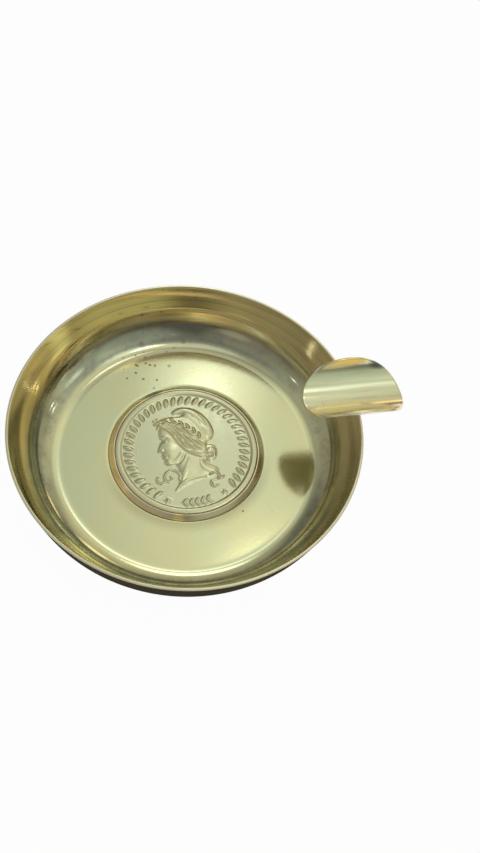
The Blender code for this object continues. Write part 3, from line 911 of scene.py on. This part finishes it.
class Relief:
    """Heights over flat places, raised form by form, all in millimetres."""

    def __init__(self, places):
        self.places = places
        self.heights = np.zeros(len(places))

    def around(self, line, reach):
        """Indices of the places in the line's box, grown by the reach."""
        low = line.min(axis=0) - reach
        high = line.max(axis=0) + reach
        return np.nonzero(np.all((self.places > low) & (self.places < high), axis=1))[0]

    def measure(self, near, line):
        """Distance of those places from the line, and the share of it at which each is nearest."""
        spots = self.places[near]
        gaps = np.full(len(near), np.inf)
        shares = np.zeros(len(near))
        for index, (start, end) in enumerate(zip(line, line[1:])):
            along = end - start
            share = np.clip((spots - start) @ along / (along @ along), 0.0, 1.0)
            gap = np.linalg.norm(spots - start - share[:, None] * along, axis=1)
            nearer = gap < gaps
            gaps[nearer] = gap[nearer]
            shares[nearer] = (index + share[nearer]) / (len(line) - 1)
        return gaps, shares

    def inside(self, near, line):
        """Which of those places a closed line holds."""
        spots = self.places[near]
        held = np.zeros(len(near), bool)
        for start, end in zip(line, line[1:]):
            if start[1] == end[1]:
                continue
            crosses = (start[1] > spots[:, 1]) != (end[1] > spots[:, 1])
            at = start[0] + (spots[:, 1] - start[1]) * (end[0] - start[0]) / (end[1] - start[1])
            held ^= crosses & (spots[:, 0] < at)
        return held

    def pillow(self, outline, height, shoulder, facets=False):
        """Raise an area that rounds down to its smooth outline, or slopes down to its straight sides."""
        line = np.array(outline) if facets else curve_through(outline, closed=True, steps=4)
        line = np.vstack([line, line[:1]])
        near = self.around(line, 0.0)
        rise = np.clip(self.measure(near, line)[0] / shoulder, 0.0, 1.0)
        if not facets:
            rise = np.sqrt(1 - (1 - rise) ** 2)
        self.heights[near] += np.where(self.inside(near, line), height * rise, 0.0)

    def stroke(self, points, width, height, taper=0.0):
        """Raise a rounded line, or cut one where the height is negative; a taper of 1 ends in points."""
        line = curve_through(points, steps=5)
        near = self.around(line, width)
        gaps, shares = self.measure(near, line)
        half = width / 2 * np.maximum(1 - taper * (2 * shares - 1) ** 2, 0.05)
        self.heights[near] += height * np.clip(1 - (gaps / half) ** 2, 0.0, 1.0)

    def bump(self, centre, reach, height):
        """Raise a soft oval mound, or sink a hollow."""
        spots = (self.places - centre) / reach
        self.heights += height * np.clip(1 - (spots ** 2).sum(axis=1), 0.0, 1.0) ** 1.5

    def bead(self, centre, radius, height):
        gaps = np.linalg.norm(self.places - centre, axis=1)
        self.heights += height * np.sqrt(np.clip(1 - (gaps / radius) ** 2, 0.0, 1.0))

    def leaf(self, base, tip, width, height):
        """Raise a pointed leaf, whose two sides meet in a ridge."""
        near = self.around(np.array([base, tip]), width)
        length = np.linalg.norm(tip - base)
        ahead = (tip - base) / length
        spots = self.places[near] - base
        share = np.clip(spots @ ahead / length, 0.0, 1.0)
        across = np.abs(spots @ np.array([-ahead[1], ahead[0]]))
        half = width / 2 * np.sin(np.pi * share ** 0.8) ** 0.8 + 0.0001
        self.heights[near] += height * np.clip(1 - across / half, 0.0, 1.0)


def raise_hair(relief):
    """Wavy locks drawn back from the forehead to the bun, each between the face and the cap."""
    relief.pillow(HAIR_EDGE + CAP_BAND[::-1], *HAIR_SHAPE)
    marks = np.linspace(0.0, 1.0, 15)
    edges = []
    for points in (HAIR_EDGE, CAP_BAND):
        line = curve_through(points, steps=4)
        known = np.linspace(0, 1, len(line))
        edges.append(np.c_[np.interp(marks, known, line[:, 0]), np.interp(marks, known, line[:, 1])])
    low, high = edges
    lean = (high - low) / np.linalg.norm(high - low, axis=1)[:, None]
    for lock in range(LOCKS):
        share = LOCK_START_SHARE + LOCK_STEP_SHARE * lock
        wave = np.sin(math.tau * (LOCK_WAVES * marks + LOCK_SHIFT * lock))
        sway = LOCK_SWAY * wave * np.sin(math.pi * marks)
        line = low * (1 - share) + high * share + lean * sway[:, None]
        relief.stroke(line[lock % 3 // 2:], LOCK_WIDTH, LOCK_HEIGHTS[lock % 2], LOCK_TAPER)
    for turn, reach in BUN_TURNS:
        curl = [from_polar(turn + BUN_STEP * step, reach * (1 - BUN_SHRINK * step)) for step in range(5)]
        relief.stroke(np.array(BUN_MIDDLE) + curl, *BUN_SHAPE)


def raise_wreath(relief):
    """Leaves in pairs that point to the forehead."""
    steps = 6
    line = curve_through(WREATH, steps=steps)
    for pair in range(WREATH_PAIRS):
        spot = line[steps // 2 + pair * steps]
        ahead = line[pair * steps] - spot
        ahead = ahead / np.linalg.norm(ahead)
        side = np.array([-ahead[1], ahead[0]])
        for hand in (-1.0, 1.0):
            tip = spot + ahead * WREATH_REACH[0] + side * hand * WREATH_REACH[1]
            relief.leaf(spot, tip, *WREATH_LEAF)
    relief.stroke(WREATH, *WREATH_STEM)


def raise_stars(relief):
    for centre in STARS:
        outline = []
        for tip in range(2 * STAR_ARMS):
            reach = STAR_RADIUS * (STAR_WAIST_SHARE if tip % 2 else 1.0)
            outline.append(centre + from_polar(90.0 + 180.0 / STAR_ARMS * tip, reach))
        relief.pillow(outline, *STAR_SHAPE, facets=True)


def raise_border(relief):
    """Slender leaves that lean one after another round the coin."""
    pitch = (BORDER_START - BORDER_END) / (BORDER_LEAVES - 1)
    for number in range(BORDER_LEAVES):
        turn = BORDER_START - pitch * number
        inner = from_polar(turn + BORDER_SLANT, BORDER_RADIUS - BORDER_LENGTH / 2)
        outer = from_polar(turn - BORDER_SLANT, BORDER_RADIUS + BORDER_LENGTH / 2)
        relief.leaf(inner, outer, *BORDER_LEAF)


def raise_sprig(relief):
    """A sprig with pairs of leaves, at the foot of the border."""
    relief.stroke([from_polar(turn, SPRIG_RADIUS) for turn in SPRIG_STEM_AT], *SPRIG_STEM)
    for turn in SPRIG_AT:
        base = from_polar(turn, SPRIG_RADIUS)
        for out in (-SPRIG_REACH, SPRIG_REACH):
            relief.leaf(base, from_polar(turn + SPRIG_TURN, SPRIG_RADIUS + out), *SPRIG_LEAF)


def raise_rim(relief):
    """A soft slope from the field up to the rim."""
    out = np.linalg.norm(relief.places, axis=1)
    share = np.clip((out - RIM_SLOPE[0]) / (RIM_SLOPE[1] - RIM_SLOPE[0]), 0.0, 1.0)
    relief.heights += COIN_RIM_HEIGHT / MM * share * share * (3 - 2 * share)


def coin_relief(places, faces):
    """Heights in millimetres over the coin's field."""
    across, up = math.cos(COIN_TURN), math.sin(COIN_TURN)
    relief = Relief(places / MM @ np.array([[across, -up], [up, across]]))
    relief.pillow(FACE_AND_NECK + BUST_CUT + BACK_OF_NECK + BUN + CAP_BACK + CAP_FRONT, *BUST_SHAPE)
    relief.pillow(CAP_BAND + CAP_BACK + CAP_FRONT, *CAP_SHAPE)
    for stroke in STROKES.values():
        relief.stroke(*stroke)
    for mound in MOUNDS.values():
        relief.bump(*mound)
    for tuft in TUFTS:
        relief.bead(tuft, *TUFT_SHAPE)
    raise_hair(relief)
    raise_wreath(relief)
    for scroll in SCROLLS.values():
        relief.stroke(scroll, *SCROLL_SHAPE)
    raise_stars(relief)
    raise_border(relief)
    raise_sprig(relief)
    raise_rim(relief)
    heights = relief.heights
    shares = np.bincount(faces.ravel())
    for smoothing in range(SMOOTHINGS):
        middle = heights[faces].mean(axis=1)
        heights = np.bincount(faces.ravel(), np.repeat(middle, 4)) / shares
    return heights


def build_coin():
    places, faces, loop, directions = disc_places()
    field_radius = COIN_RADIUS - COIN_RIM_WIDTH - COIN_RIM_HEIGHT
    places = places * field_radius
    heights = coin_relief(places, np.array(faces)) * MM
    heights[loop] = COIN_RIM_HEIGHT
    vertices = [np.c_[places, COIN_FIELD_Z + heights]]
    rings = [loop]
    corners = [
        (field_radius, COIN_HIGH.z), (COIN_RADIUS, COIN_HIGH.z),
        (COIN_RADIUS, COIN_LOW.z), (COIN_RADIUS * COIN_BOTTOM_SHARE, COIN_LOW.z),
    ]
    for radius, height in rounded(corners, [COIN_EDGE_ROUND * 2, COIN_EDGE_ROUND], 4)[1:]:
        vertices.append(np.c_[directions * radius, np.full(len(loop), height)])
        rings.append(range(rings[-1].stop, rings[-1].stop + len(loop)))
    vertices.append([(0.0, 0.0, COIN_LOW.z)])
    faces += ring_faces([[rings[-1].stop]] + rings[::-1])
    add_piece("struck_coin", np.vstack(vertices), faces, "coin", coin_finish())


def build_rest():
    """An oval sheet, rounded at its edge, bent round a level axis."""
    half_sheet = REST_SHEET / 2
    middle_x = (REST_LOW.x + REST_HIGH.x) / 2
    bend_radius = REST_BEND_RADIUS + half_sheet
    axis_z = REST_LOW.z + REST_SHEET + REST_BEND_RADIUS

    def place(share_out, inset, offset, angle):
        along = (share_out * REST_LENGTH / 2 - inset) * math.cos(angle)
        across = (share_out * REST_BLANK_WIDTH / 2 - inset) * math.sin(angle)
        turn = across / bend_radius
        reach = bend_radius - offset
        return (middle_x + along, reach * math.sin(turn), axis_z - reach * math.cos(turn))

    corners = [(1.0, 0.0), (0.0, 0.0), (0.0, REST_SHEET), (1.0, REST_SHEET)]
    section = rounded(corners, [REST_EDGE_ROUND] * 2, 5)
    shares = [ring / REST_RINGS for ring in range(REST_RINGS)]
    paths = [(share, REST_EDGE_ROUND * share, -half_sheet) for share in shares]
    paths += [(1.0, inset, height - half_sheet) for inset, height in section[1:-1]]
    paths += [(share, REST_EDGE_ROUND * share, half_sheet) for share in reversed(shares)]
    vertices, faces = swept(paths, REST_STEPS, place)
    add_piece("bent_rest", vertices, faces, "cigarette_rest", rest_finish())


PALE_FLOOR_HALF = 3.0
PALE_FLOOR_Z = -0.00003
PALE_FLOOR_COLOUR = (0.85, 0.85, 0.84, 1.0)
PALE_FLOOR_GLOW = 0.97
WHITE = (1.0, 1.0, 1.0, 1.0)


def build_floor():
    """A plain pale floor, which the camera and mirrored rays see lighter, with the shadow kept."""
    mesh = bpy.data.meshes.new("floor")
    corners = [
        (PALE_FLOOR_HALF * x, PALE_FLOOR_HALF * y, PALE_FLOOR_Z)
        for x, y in ((-1, -1), (1, -1), (1, 1), (-1, 1))
    ]
    mesh.from_pydata(corners, [], [(0, 1, 2, 3)])
    floor = add_object("floor", mesh)
    material = bpy.data.materials.new("pale_floor")
    material.use_nodes = True
    nodes = Nodes(material.node_tree)
    nodes.tree.nodes.clear()
    diffuse = nodes.node("ShaderNodeBsdfDiffuse", PALE_FLOOR_COLOUR)
    glow = nodes.node("ShaderNodeEmission", WHITE, 1.0)
    path = nodes.node("ShaderNodeLightPath").outputs
    seen = nodes.most(path["Is Camera Ray"], path["Is Glossy Ray"], path["Is Transmission Ray"])
    glowing = nodes.product(seen, PALE_FLOOR_GLOW)
    mix = nodes.node("ShaderNodeMixShader", glowing, diffuse.outputs[0], glow.outputs[0])
    nodes.node("ShaderNodeOutputMaterial", mix.outputs[0])
    mesh.materials.append(material)


def heading(azimuth, elevation):
    """Unit vector towards an angle from +X and an elevation, both in degrees."""
    turn, lift = math.radians(azimuth), math.radians(elevation)
    return Vector((math.cos(turn) * math.cos(lift), math.sin(turn) * math.cos(lift), math.sin(lift)))


# Soft patches of the surroundings, in degrees: azimuth from +X, elevation, inner and outer reach, colour
SURROUNDINGS = {
    "window": (75.0, 54.5, 1.0, 6.5, (0.45, 0.48, 0.47)),
    "window_wash": (76.0, 58.0, 2.0, 24.0, (0.27, 0.29, 0.24)),
    "window_low": (79.0, 41.0, 2.0, 7.5, (1.5, 1.65, 1.5)),
    "window_sill": (76.0, 28.0, 4.0, 24.0, (0.34, 0.3, 0.19)),
    "ceiling_lamp": (52.0, 70.5, 1.0, 5.0, (1.8, 1.75, 1.4)),
    "ceiling_wash": (40.0, 68.0, 3.0, 24.0, (0.2, 0.17, 0.11)),
    "ceiling_strip": (-26.0, 67.0, 1.0, 11.0, (0.55, 0.6, 0.52)),
    "ceiling_far": (-33.0, 75.5, 1.0, 6.0, (1.8, 1.9, 1.7)),
    "ceiling_middle": (-100.0, 87.0, 3.0, 14.0, (0.28, 0.28, 0.26)),
    "side_window": (-13.0, 35.0, 1.0, 8.0, (0.5, 0.56, 0.49)),
    "side_low": (-18.0, 19.0, 4.0, 22.0, (0.26, 0.27, 0.22)),
    "side_wash": (-10.0, 55.0, 5.0, 36.0, (0.18, 0.18, 0.15)),
    "right_wash": (15.0, 25.0, 5.0, 32.0, (0.28, 0.24, 0.15)),
    "right_far_wash": (46.0, 35.0, 4.0, 26.0, (0.26, 0.23, 0.15)),
    "front_side": (-58.0, 38.0, 6.0, 30.0, (0.34, 0.38, 0.3)),
    "front_left": (-138.0, 33.0, 6.0, 32.0, (0.25, 0.225, 0.16)),
    "front_low": (-126.0, 21.0, 3.0, 13.0, (0.26, 0.24, 0.19)),
    "low_warm": (46.0, 10.0, 1.0, 7.0, (2.2, 1.6, 0.7)),
    "low_warm_far": (62.0, 17.0, 1.0, 6.0, (1.5, 1.2, 0.6)),
    "left_side": (155.0, 28.0, 5.0, 42.0, (0.24, 0.2, 0.13)),
    "overhead": (0.0, 90.0, 10.0, 60.0, (0.22, 0.225, 0.19)),
}
ROOM_COLOUR = (0.2, 0.192, 0.16)


def build_world():
    """A dim even room with the soft patches added to it."""
    world = bpy.data.worlds.new("studio")
    bpy.context.scene.world = world
    world.use_nodes = True
    nodes = Nodes(world.node_tree)
    direction = nodes.node("ShaderNodeTexCoord").outputs["Generated"]
    colour = ROOM_COLOUR
    for name, (azimuth, elevation, inner, outer, tint) in SURROUNDINGS.items():
        near = nodes.vector("DOT_PRODUCT", direction, heading(azimuth, elevation))
        near = nodes.remap(near, math.cos(math.radians(outer)), math.cos(math.radians(inner)))
        colour = nodes.vector("MULTIPLY_ADD", near, tint, colour)
        colour.node.label = name
    nodes.fill(nodes.tree.nodes["Background"], Color=colour, Strength=1.0)


# Lamps: azimuth and elevation in degrees, width in metres, power in watts and colour
LAMP_DISTANCE = 0.9
SPOT_COLOUR = (1.0, 0.98, 0.9)
LAMPS = {
    "key": (75.0, 54.5, 0.08, 0.012, (1.0, 1.0, 0.97)),
    "spot_right_high": (10.0, 34.0, 0.022, 0.014, SPOT_COLOUR),
    "spot_right_low": (6.0, 25.5, 0.022, 0.014, SPOT_COLOUR),
    "spot_left": (-178.0, 37.0, 0.022, 0.014, SPOT_COLOUR),
    "spot_front": (-85.0, 49.0, 0.015, 0.002, SPOT_COLOUR),
}


def build_lamps():
    """Round soft lamps aimed at the bowl's middle."""
    for name, (azimuth, elevation, size, power, colour) in LAMPS.items():
        lamp = bpy.data.lights.new(name, "AREA")
        lamp.shape = "DISK"
        lamp.size = size
        lamp.energy = power
        lamp.color = colour
        stand = add_object(name, lamp)
        towards = heading(azimuth, elevation)
        stand.location = towards * LAMP_DISTANCE
        stand.rotation_euler = (-towards).to_track_quat("-Z", "Y").to_euler()
        stand.visible_camera = False


def build_camera():
    camera = bpy.data.cameras.new("camera")
    camera.lens = CAMERA_LENS
    camera.sensor_width = CAMERA_SENSOR
    camera.clip_start = CAMERA_NEAR
    camera.clip_end = CAMERA_FAR
    holder = add_object("camera", camera)
    aim = (CAMERA_AIM - CAMERA_PLACE).to_track_quat("-Z", "Y")
    holder.location = CAMERA_PLACE
    holder.rotation_mode = "QUATERNION"
    holder.rotation_quaternion = aim @ Quaternion((0.0, 0.0, 1.0), CAMERA_ROLL)
    bpy.context.scene.camera = holder


bpy.context.scene.view_settings.view_transform = "Standard"
build_camera()
build_floor()
build_world()
build_lamps()
build_bowl()
build_collar()
build_coin()
build_rest()
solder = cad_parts["rest_solder"]
solder.data.materials.clear()
solder.data.materials.append(solder_finish())
